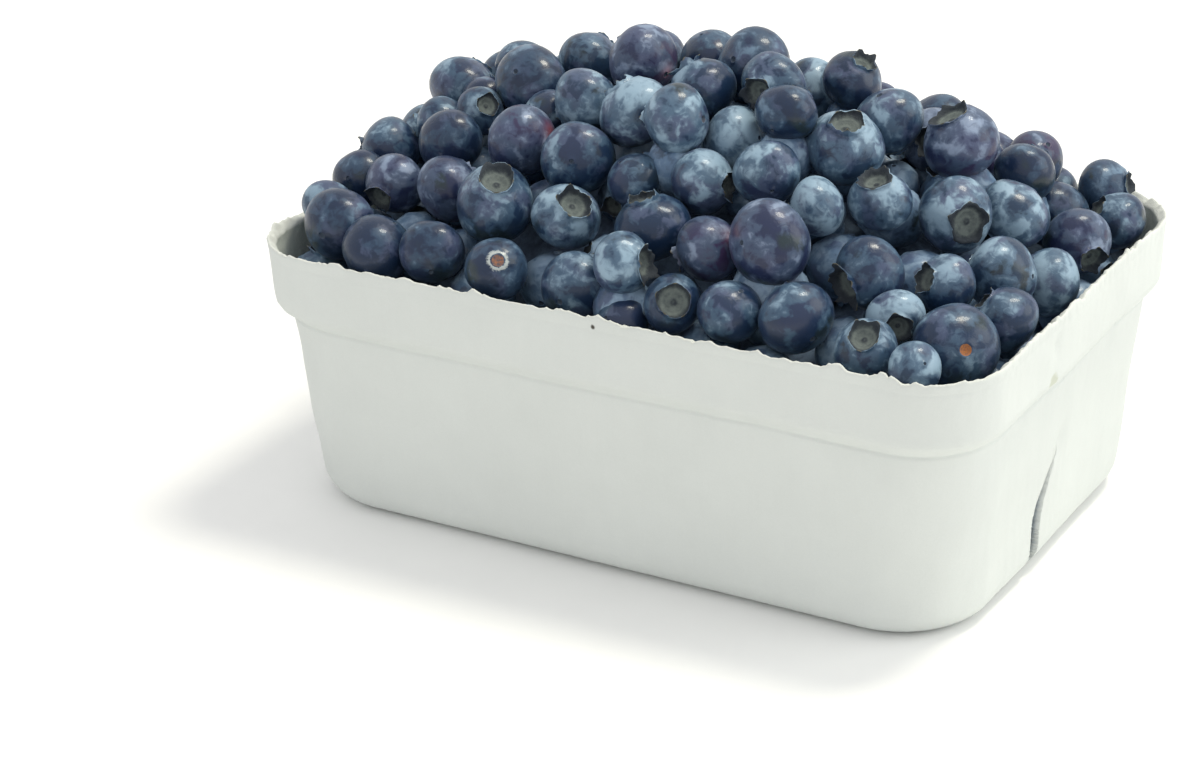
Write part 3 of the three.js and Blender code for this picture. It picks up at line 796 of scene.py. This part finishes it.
under = heap[heap[:, 4] >= STANDS_PROUD]
under[:, 2] -= UNDER * under[:, 3]
fixed = np.concatenate([heap, under])
beneath = thrown(fixed, stream, *LIFTS_BENEATH)
beneath = settled(beneath, np.arange(len(beneath)) < len(fixed))[len(heap):]
print(len(beneath), "berries beneath")

# %% [markdown]
# ## A berry's form
#
# A blueberry is a slightly flattened ball. At one end is the scar where its stalk was, a shallow
# pit in a pale ring. At the other the dried flower has left a crown: a low wall that stands or
# leans out in five pointed lobes round a shallow cup. Sculpting one and copying it would make a
# hundred twins. Here the whole profile is a formula of each berry's own numbers, and only the
# wall of the crown also depends on the way round, because its height drops from each lobe's tip
# to the notch beside it.

# %% Each berry's own numbers
LOBES = 5
RAGGED_TURNS = [2, 3, 7, 11, 16]  # two slow waves for the crown's outline, three for its edge
# Ranges of what differs from berry to berry: lengths as shares of its radius, angles in radians.
RANGES = {
    "wall": (0.09, 0.20),  # how high the crown's wall is
    "lean": (-0.45, 1.0),  # how far it leans out from upright
    "notch": (0.35, 0.85),  # how deep its notches are, as a share of it
    "cup": (0.13, 0.26),  # how deep the cup in it is
    "star": (0.04, 0.16),  # how far the lobes draw it out into a star
    "scar": (0.055, 0.085),  # the stem scar's radius
    "ring": (0.0, 0.25),  # how pale the ring round the scar is
    "cork": (0.0, 0.2),  # how bright the scar's cork is
}


def berry_numbers(rows, crowns):
    """Each berry's own numbers, in arrays of (berries, 1, 1)."""
    count, each = len(rows), (len(rows), 1, 1)
    return {
        "place": rows[:, None, None, :3],
        "radius": rows[:, 3].reshape(each),
        "crown": crowns.reshape(each),  # the crown's radius
        "bearing": np.radians(rows[:, 5]),
        "tilt": np.radians(rows[:, 6]),
        "spin": rng.uniform(0, 2 * np.pi, count),
        **{key: rng.uniform(*span, each) for key, span in RANGES.items()},
        "lobe_length": rng.uniform(-0.5, 0.45, (count, 1, LOBES)),
        "lobe_lean": rng.uniform(-0.5, 0.5, (count, 1, LOBES)),
        "oval": rng.uniform(0, 0.08, each),  # how much narrower it is one way
        "bloom": rng.normal(0, 1, each),  # how much more bloom it has than most
        "ragged": rng.uniform(0, 2 * np.pi, (count, 1, 1, len(RAGGED_TURNS))),
        "mark_way": np.zeros((count, 1, 1, 3)),  # where a reddish mark lies
        "mark_size": np.ones(each),
        "mark": np.zeros(each),  # how strong it is
    }


print("waves round a crown's edge:", RAGGED_TURNS)

# %% Profile of the body
FLATNESS = 0.85  # height over width
SCAR_ROWS = np.array([0.45, 0.8, 1.0, 1.15, 1.35, 1.65])  # out from the stem end, in scar radii
RIB = 0.012  # five faint ribs run down from the lobes
SHOULDER = 0.045  # the skin swells round the crown
PIT, RING = 0.04, 0.022  # the scar's depth, and how far the ring round it stands out


def body_profile(berry, turn, body_rows):
    """Rows of (out, up) from the stem end to the foot of the crown's wall.

    The body is a circle of latitude at each row, flattened: out is the cosine and up is FLATNESS
    times the sine. The stem end is pitted by one bell curve and ringed by another.
    """
    crown, scar = berry["crown"], berry["scar"]
    scar_out = SCAR_ROWS[:, None] * scar
    lowest, highest = -np.arccos(scar_out[:, -1:]), np.arccos(crown)
    spread = np.linspace(0, 1, body_rows + 1)[1:, None]
    latitude = np.concatenate([-np.arccos(scar_out), lowest + (highest - lowest) * spread], axis=1)
    out, up = np.cos(latitude), np.sin(latitude)
    rib = RIB * np.cos(LOBES * turn) * smooth(0.2, 0.9, up)
    shoulder = SHOULDER * bell(out - crown - 0.10, 0.10) * (latitude > 0)
    up = FLATNESS * up + PIT * bell(out, 0.8 * scar) + shoulder
    up = up - RING * bell(out - 1.25 * scar, 0.3 * scar) * (latitude < 0)
    return together(out * (1 + rib), up)


print("rows round the stem scar:", len(SCAR_ROWS))

# %% Profile of the crown
COLLAR_ROWS = np.array([0.04, 0.14, 0.36, 0.66, 0.92, 1.0])  # up the crown's wall
CUP_ROWS = np.array([0.95, 0.84, 0.72, 0.6, 0.46, 0.3, 0.14])  # in across the cup's floor
COLLAR_THICK, COLLAR_TAPER = 0.055, 0.55  # the wall at its foot, and how much thinner at its top
COLLAR_LIFT = 0.017  # the wall's foot over the body, where the shoulder swells
BOSS, CUP_RIDGE = 0.05, 0.035  # heights of the boss in the cup's middle and the ridge round it


def crown_profile(berry, to_tip, length, lean):
    """Rows of (out, up) up the outside of the crown's wall, down its inside and across the cup.

    The wall starts where the body is as wide as the crown and goes up along its lean. The cup's
    floor is a third power with a boss and a ridge, both bell curves, and ends in the middle.
    """
    crown = berry["crown"]
    foot = FLATNESS * np.sqrt(1 - crown ** 2) + COLLAR_LIFT
    reach = berry["wall"] * (1 - berry["notch"] * (1 - to_tip)) * length
    rise = COLLAR_ROWS[:, None]
    thick = COLLAR_THICK * (1 - COLLAR_TAPER * rise)
    curl = lean * (0.5 + 0.5 * rise)
    out = crown + rise * reach * np.sin(curl)
    up = foot + rise * reach * np.cos(curl)
    inner = together(out - thick * np.cos(curl), up + thick * np.sin(curl))[:, ::-1]
    across = CUP_ROWS[:, None]
    ridges = BOSS * bell(across, 0.25) + CUP_RIDGE * bell(across - 0.62, 0.12)
    cup_up = foot - berry["cup"] * (1 - across ** 3) + ridges
    cup = together((crown - COLLAR_THICK) * across + 0 * to_tip, cup_up)
    middle = together(0 * to_tip, foot - berry["cup"] + BOSS)
    return together(out, up), inner, cup, middle


print("rows up the wall and across the cup:", 2 * len(COLLAR_ROWS) + len(CUP_ROWS))

# %% Berry surfaces
SKIN, CUP, SCAR = 0, 1, 2  # material slots
SCAR_BANDS = 3  # how many bands of faces the scar takes
UNEVEN, RAGGED = 0.035, 0.16  # strength of the waves in the crown's outline and its edge
LUMPS, LUMPY = 6, 0.015  # waves that run through a berry, and how far each swells it


def berry_grid(berry, columns, body_rows):
    """All berries as (berries, rows, columns, 3) in their own frames, crown up and radius 1,
    with the slots between rows, how far each row is up the crown's wall, and how near each point
    is to a lobe's tip.

    Sine waves round the crown leave its wall ragged and its outline uneven, and a bell curve
    draws it out into a star.
    """
    turn = 2 * np.pi * np.arange(columns) / columns
    lobe = LOBES * turn / (2 * np.pi)
    to_tip = 1 - 2 * np.abs(lobe - np.round(lobe))  # 1 at a lobe's tip, 0 in a notch
    which = np.round(lobe).astype(int) % LOBES
    waves = np.sin(turn[:, None] * RAGGED_TURNS + berry["ragged"])
    uneven, ragged = waves[..., :2].sum(axis=-1), waves[..., 2:].sum(axis=-1)
    length = (1 + berry["lobe_length"][..., which] * to_tip) * (1 + RAGGED * ragged)
    lean = berry["lean"] + berry["lobe_lean"][..., which] * to_tip

    body = body_profile(berry, turn, body_rows)
    outer, inner, cup, middle = crown_profile(berry, to_tip, length, lean)
    profile = np.concatenate([body, outer, inner, cup], axis=1)
    near_crown = bell(profile[..., 0] / berry["crown"] - 1, 0.4) * (profile[..., 1] > 0)
    profile[..., 0] *= 1 + (berry["star"] * (to_tip - 0.5) + UNEVEN * uneven) * near_crown
    stem_end = np.array([0, PIT - FLATNESS]) + 0 * profile[:, :1]
    profile = np.concatenate([stem_end, profile, middle], axis=1)
    out, up = profile[..., 0], profile[..., 1]
    no_wall = np.zeros(body.shape[1] + 1), np.zeros(len(CUP_ROWS) + 1)
    up_wall = np.concatenate([no_wall[0], COLLAR_ROWS, COLLAR_ROWS[::-1], no_wall[1]])[:, None]
    slots = [SCAR] * SCAR_BANDS + [SKIN] * (body.shape[1] + len(COLLAR_ROWS) + 1 - SCAR_BANDS)
    slots += [CUP] * (len(COLLAR_ROWS) + len(CUP_ROWS))
    return together(out * np.cos(turn), out * np.sin(turn), up), slots, up_wall, up_wall * to_tip


def lumpy(grid):
    """Swells and shrinks each berry by up to some 4% with waves that run through it in its own
    ways."""
    way = rng.normal(0, 1.8, (len(grid), LUMPS, 3))
    start = rng.uniform(0, 2 * np.pi, (len(grid), 1, 1, LUMPS))
    waves = np.sin(np.einsum("brci,bwi->brcw", grid, way) + start)
    return grid * (1 + LUMPY * waves.sum(axis=-1, keepdims=True))


def stood_up(grid, berry):
    """Scales each berry to its radius, turns its crown to its bearing and tilt, and sets it in
    its place."""
    bearing, tilt, spin = berry["bearing"], berry["tilt"], berry["spin"][:, None]
    level_x, level_y = np.cos(bearing), np.sin(bearing)
    crown = together(np.sin(tilt) * level_x, np.sin(tilt) * level_y, np.cos(tilt))
    down = together(np.cos(tilt) * level_x, np.cos(tilt) * level_y, -np.sin(tilt))
    aside = together(-level_y, level_x, 0)
    first = down * np.cos(spin) + aside * np.sin(spin)
    second = aside * np.cos(spin) - down * np.sin(spin)
    axes = np.stack([first, second, crown], axis=1) * berry["radius"]
    return np.einsum("brci,bij->brcj", grid, axes) + berry["place"]


print("berries to build:", len(heap) + len(beneath))

# %% [markdown]
# ## Skin, crown and scar
#
# Under a blueberry's wax the skin is nearly black, with a purple cast where it is less ripe. The
# wax is a bloom of fine scales: it hides the skin under a matt pale blue, thickest round the
# crown, and is rubbed off in patches wherever berries touch. So colour and roughness are both
# mixed by one patchy mask. It is made of noise in each berry's own coordinates, kept as an
# attribute, or the pattern would run on from one berry to the next. The bloom's own level and
# the purple flush are attributes too.

# %% Make the skin materials
PATCHES, SCUFFS, TINTS = 4.8 * MM, 1.6 * MM, 6.7 * MM
WAX_GRAIN = 0.3 * MM  # the scales of wax are a hundred times finer, and wouldn't show
GREENISH, VIOLET_FILM = "#24323a", "#484d6c"  # tints in the bare skin and in thin bloom
SUN_RED, PALE_RING, DRY_TIP = "#9a4a4c", "#a9b0b0", "#54503f"


def blueberry_skin(name, bare, thin, thick, cover, flush):
    """Waxy skin: bare skin, thin bloom and thick bloom, in soft patches some 5 mm wide with
    scuffs in them. Patches, scuffs, grain and the berry's own bloom add up to a level, and the
    higher it is, the more wax there is; the bloom attribute also carries painted light, which
    makes each berry paler on top. cover moves all levels up."""
    material, tree, shader = new_material(name)
    place = add(tree, "Attribute", output="Vector", attribute_name="skin_place")
    bloom, blush, mark, tip, ring = (
        add(tree, "Attribute", output="Fac", attribute_name=key)
        for key in ("bloom", "flush", "sun_mark", "tip", "scar_ring"))
    patches, scuffs, tints, grain = (
        add(tree, "TexNoise", {"Vector": place, "Scale": 1 / size, "Detail": detail,
                               "Roughness": rough, "Distortion": swirl})
        for size, detail, rough, swirl in (
            (PATCHES, 2.5, 0.45, 0.6), (SCUFFS, 3, 0.5, 0.8),
            (TINTS, 1, 0.4, 0), (WAX_GRAIN, 3, 0.6, 0)))
    sums = []
    for level, *parts in ((patches, (bloom, 1.0), (scuffs, 0.36), (grain, 0.05)),
                          (ring, (scuffs, 0.8), (grain, 1.0)),
                          (scuffs, (grain, 0.3))):
        for value, share in parts:
            level = add(tree, "Math", {0: value, 1: share, 2: level}, operation="MULTIPLY_ADD")
        sums.append(level)
    wax, ring, height = sums
    some, much, greenish, violet, ring, tip = (
        add(tree, "MapRange", {"Value": value, "From Min": start, "From Max": end, "To Max": most},
            interpolation_type="SMOOTHSTEP")
        for value, start, end, most in (
            (wax, 0.62 - cover, 0.76 - cover, 1), (wax, 0.77 - cover, 0.98 - cover, 1),
            (tints, 0.56, 0.70, 1), (tints, 0.50, 0.36, 0.6), (ring, 1.35, 1.7, 1),
            (tip, 0.6, 0.95, 1)))
    film = add(tree, "Mix", {0: violet, MIX_A: linear(thin), MIX_B: linear(VIOLET_FILM)},
               MIX_RESULT, data_type="RGBA")
    colour = linear(bare)
    for share, tone in ((greenish, linear(GREENISH)), (blush, linear(flush)), (some, film),
                        (much, linear(thick)), (mark, linear(SUN_RED)),
                        (ring, linear(PALE_RING)), (tip, linear(DRY_TIP))):
        colour = add(tree, "Mix", {0: share, MIX_A: colour, MIX_B: tone}, MIX_RESULT,
                     data_type="RGBA")
    rough = add(tree, "MapRange", {"Value": some, "To Min": 0.30, "To Max": 0.48})
    bump = add(tree, "Bump", {"Height": height, "Strength": 1.0, "Distance": 0.10 * MM})
    connect(tree, shader, {
        "Base Color": colour, "Normal": bump,
        "Roughness": rough,  # wax is matt, bare skin shines
        "IOR": 1.45,  # cuticle wax
        "Specular IOR Level": 0.38,  # its scales scatter part of the shine
        "Coat Weight": 0.25, "Coat Roughness": 0.11,  # where the wax is rubbed smooth it glints
        "Sheen Weight": 0.06, "Sheen Roughness": 0.5,  # scales of wax catch light at the edge
        "Sheen Tint": linear("#a8c0cc"),
    })
    return material


def dried_tissue(name, dark, light, size, share_name, darkest, lightest):
    """Withered plant tissue: from the dark colour to the light one as noise of that size plus a
    named attribute goes from darkest to lightest, with the same noise as relief."""
    material, tree, shader = new_material(name)
    place = add(tree, "Attribute", output="Vector", attribute_name="skin_place")
    own = add(tree, "Attribute", output="Fac", attribute_name=share_name)
    mottle = add(tree, "TexNoise", {"Vector": place, "Scale": 1 / size, "Detail": 5,
                                    "Roughness": 0.65})
    level = add(tree, "Math", {0: mottle, 1: 1.0, 2: own}, operation="MULTIPLY_ADD")
    share = add(tree, "MapRange", {"Value": level, "From Min": darkest, "From Max": lightest},
                interpolation_type="SMOOTHSTEP")
    colour = add(tree, "Mix", {0: share, MIX_A: linear(dark), MIX_B: linear(light)}, MIX_RESULT,
                 data_type="RGBA")
    bump = add(tree, "Bump", {"Height": mottle, "Strength": 1.0, "Distance": 0.25 * MM})
    connect(tree, shader, {
        "Base Color": colour, "Normal": bump,
        "Roughness": 0.8,  # dry and fibrous, so it has no shine
    })
    return material


# the cup's dark colour is laid on by an attribute as painted shade towards the crown's wall
dried_cup = dried_tissue("dried_flower_cup", "#272f38", "#69726f", 1.2 * MM, "cup_shade_and_rings",
                         0.85, 1.75)
corky_scar = dried_tissue("corky_stem_scar", "#384454", "#ac6c3a", 0.6 * MM, "cork", 0.75, 1.35)
# One skin for each kind: bare, thin bloom, thick bloom, how much more of it is covered, flush.
skins = [blueberry_skin("skin_with_" + name, *look) for name, *look in (
    ("thick_bloom", "#233750", "#496178", "#8ba4b7", 0.05, "#2c3654"),
    ("patchy_bloom", "#1a2e4a", "#3a526a", "#7f97ab", -0.01, "#25314e"),
    ("rubbed_bloom", "#172843", "#2c425b", "#627a91", -0.06, "#202d4a"),
    ("purple_flush", "#222b4a", "#3f4e68", "#7e8da6", -0.01, "#3b3050"),
    # the skin beneath keeps all its bloom and is painted paler still: painted light in the shaded
    # gaps
    ("untouched_bloom_painted_light", "#3f536c", "#5b7592", "#869eb6", 0.08, "#3c455e"),
)]
print("skins:", [material.name for material in skins])

# %% [markdown]
# ## The heap
#
# Berries of one kind of skin make one object, so that each kind can be repainted by itself. The
# attributes are worked out with the points: the bloom is thicker round the crown, and painted
# light raises it on each berry's top as it lies, so that each berry is paler on top as if lit from
# above; the flush fades in from one side, and the skin's own coordinates are the berry's, moved
# far along so that no two berries share a pattern.

# %% Attributes of the berries


def skin_attributes(berry, shape, points, up_wall, tip):
    """What the skins read, from each berry's shape in its own frame and its points in place."""
    height = shape[..., 2]
    out = np.hypot(shape[..., 0], shape[..., 1])
    at_crown = smooth(0.30, 0.78, height) * (1 - 0.5 * smooth(0.3, 0.0, out))
    blushing = rng.normal(size=(len(points), 1, 1, 3))
    blushing /= np.linalg.norm(blushing, axis=-1, keepdims=True)
    facing = (shape * blushing).sum(axis=-1)
    far_along = rng.uniform(-3, 3, (len(points), 1, 1, 3))
    from_middle = (points - berry["place"]) / berry["radius"][..., None]
    off_mark = np.linalg.norm(from_middle - berry["mark_way"], axis=-1)
    painted_top_light, across, scar = from_middle[..., 2], out / berry["crown"], berry["scar"]
    # painted shade: the cup is darker up the inside of the crown's wall and at its foot, where the
    # wall shades it, and a little darker in the very middle; the cosine adds rings
    cup_painted_shade = smooth(1.1, 0.6, across) - 0.4 * smooth(0.25, 0.1, across)
    return {
        "skin_place": shape * berry["radius"][..., None] + far_along,
        # painted light: 0.07 times the height over the berry's middle, as it lies, makes each berry
        # paler on top
        "bloom": 0.045 * berry["bloom"] + 0.07 * at_crown + 0.05 * up_wall + 0.07 * painted_top_light,
        "flush": smooth(0.1, 0.9, facing) * (0.5 + 0.5 * smooth(0.2, -0.8, height)),
        "sun_mark": berry["mark"] * bell(off_mark, berry["mark_size"]),
        "tip": tip + 0 * height,
        "scar_ring": berry["ring"] * bell(out - 1.45 * scar, 0.34 * scar) * (height < 0),
        "cork": berry["cork"] + 0 * height,
        "cup_shade_and_rings": cup_painted_shade + 0.10 * np.cos(20 * across),
    }


# %% Build the berries
KIND_NAMES = ["berries_bloomed", "berries_patchy", "berries_rubbed", "berries_dusky"]
KIND_SHARES = [0.25, 0.35, 0.22, 0.18]  # of the filling berries
CROWN_RADII, CROWN_RADII_BENEATH = (0.36, 0.48), (0.38, 0.48)
FINE, COARSE = (50, 16), (20, 5)  # columns and rows of a body, on top and beneath

# Berries whose stem end faces out: which, its scar's radius, how pale its ring and how bright
# its cork is.
SCARS_THAT_SHOW = [(2, 0.19, 1.0, 0.5), (9, 0.13, 0.0, 0.7), (20, 0.10, 0.1, 0.3)]
# Reddish marks where a berry lay in the shade of another: which, bearing and elevation, radius,
# strength.
SUN_MARKS = [
    (19, 100, 20, 0.28, 0.7),
    (14, 95, 30, 0.30, 0.5),
    (15, -40, 25, 0.12, 0.8),
    (25, 80, -10, 0.25, 0.7),
]


def berries_object(name, berry, detail, skin):
    """One object of berries, with the attributes that its skin reads."""
    shape, slots, up_wall, tip = berry_grid(berry, *detail)
    shape = lumpy(shape)
    shape[..., 0] *= 1 - berry["oval"]
    points = stood_up(shape, berry)
    attributes = skin_attributes(berry, shape, points, up_wall, tip)
    made = surface_object(name, points, [skin, dried_cup, corky_scar], slots, attributes)
    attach(made, "root")
    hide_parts("berries")


fill_count = len(heap) - len(laid)
fill_kinds = rng.choice(len(KIND_NAMES), fill_count, p=KIND_SHARES)
kinds = np.concatenate([LAID_BERRIES[:, 6].astype(int), fill_kinds])
crowns = np.concatenate([LAID_BERRIES[:, 7], rng.uniform(*CROWN_RADII, fill_count)])
numbers = berry_numbers(heap, crowns)
for at, *scar in SCARS_THAT_SHOW:
    numbers["scar"][at], numbers["ring"][at], numbers["cork"][at] = scar
for at, bearing, elevation, size, strength in SUN_MARKS:
    numbers["mark_way"][at] = way_to(bearing, elevation)
    numbers["mark_size"][at], numbers["mark"][at] = size, strength
for kind, name in enumerate(KIND_NAMES):
    chosen = {key: values[kinds == kind] for key, values in numbers.items()}
    berries_object(name, chosen, FINE, skins[kind])
lower = berry_numbers(beneath, rng.uniform(*CROWN_RADII_BENEATH, len(beneath)))
berries_object("berries_beneath", lower, COARSE, skins[UNTOUCHED_PAINTED_LIGHT])

# %% [markdown]
# ## The core
#
# The core fills what no eye can reach. It follows the wall from the floor up and turns in over
# the top under the berries beneath, so from every side the gaps end in dark fruit and not in an
# empty box. Fruit that deep shows no form of its own, only bloom in the shade: two near greys of
# blue in 3 mm mottles, without shine. They are made paler than fruit that deep: painted light
# that lifts the dark in the gaps.

# %% Build the core
CORE_COLUMNS, CORE_RINGS = 96, 16
CORE_UNDER = 19 * MM  # below the mound
CORE_SHORE = 12 * MM  # below the rim, where it meets the wall
CORE_STEEPEST = 60 * MM  # it rises from the shore at most this much on the way to the middle
CORE_LUMP, CORE_LUMP_SIZE = 1.2 * MM, 3 * MM


def core_grid():
    """A rounded rectangle up the inside of the wall, then rings that shrink to the middle under
    the mound, with lumps that are the product of two sine waves."""
    depth = WALL + GAP
    wall_z = depth + np.array([0, 0.4, 1.4, 3.0, 8, 16, 24, 30, 36]) * MM
    wall_z = np.append(wall_z, HEIGHT - CORE_SHORE)[:, None]
    x, y, *_ = rings(wall_z, depth, CORE_COLUMNS)
    share = np.linspace(1, 0, CORE_RINGS)[1:, None]
    top_x, top_y = x[-1] * share, y[-1] * share
    shore = HEIGHT - CORE_SHORE + CORE_STEEPEST * (1 - share)
    top_z = np.minimum(mound(top_x, top_y) - CORE_UNDER, shore)
    lump = CORE_LUMP * np.sin(top_x / CORE_LUMP_SIZE) * np.sin(top_y / CORE_LUMP_SIZE)
    top_z += lump * (share > 0)
    sides = together(x, y, wall_z)
    middle = np.array([0, 0, depth]) + 0 * sides[:1]
    return np.concatenate([middle, sides, together(top_x, top_y, top_z)])[None]


core = core_grid()
# the core's two blue greys are painted light, paler than fruit this deep, to lift the gaps
core_skin_painted_light = dried_tissue("fruit_core_painted_light", "#4a5a72", "#677c95", 3 * MM, "cork", 0.35, 0.65)
core_object = surface_object("heap_core", core, [core_skin_painted_light], [0] * (core.shape[1] - 1),
                             {"skin_place": core, "cork": 0 * core[..., 0]})
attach(core_object, "root")
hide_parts("berries")

# %% [markdown]
# ## The floor
#
# A white floor, lit until it is nearly as pale as the background and wide enough that its edge
# is never seen. It is board rolled with matt wall paint, which leaves a faint speckle and no
# gloss, so nothing mirrors in it.

# %% Lay the floor
FLOOR_HALF = 6.0
SPECKLE = 1 / 90  # the roller's grain is a tenth as wide, and wouldn't show
floor_mesh = bpy.data.meshes.new("floor")
corners = [(side * FLOOR_HALF, deep * FLOOR_HALF, 0)
           for side, deep in ((-1, -1), (1, -1), (1, 1), (-1, 1))]
floor_mesh.from_pydata(corners, [], [(0, 1, 2, 3)])
painted, tree, shader = new_material("painted_studio_floor")
place = add(tree, "TexCoord", output="Object")
speckle = add(tree, "TexNoise", {"Vector": place, "Scale": 1 / SPECKLE, "Detail": 3})
shade = add(tree, "Mix", {0: speckle, MIX_A: linear("#f6f6f5"), MIX_B: linear("#fafaf9")},
            MIX_RESULT, data_type="RGBA")
connect(tree, shader, {"Base Color": shade, "Roughness": 0.8})  # matt paint
floor_mesh.materials.append(painted)
floor = put_in_scene("floor", floor_mesh)
print("floor is", 2 * FLOOR_HALF, "m wide")
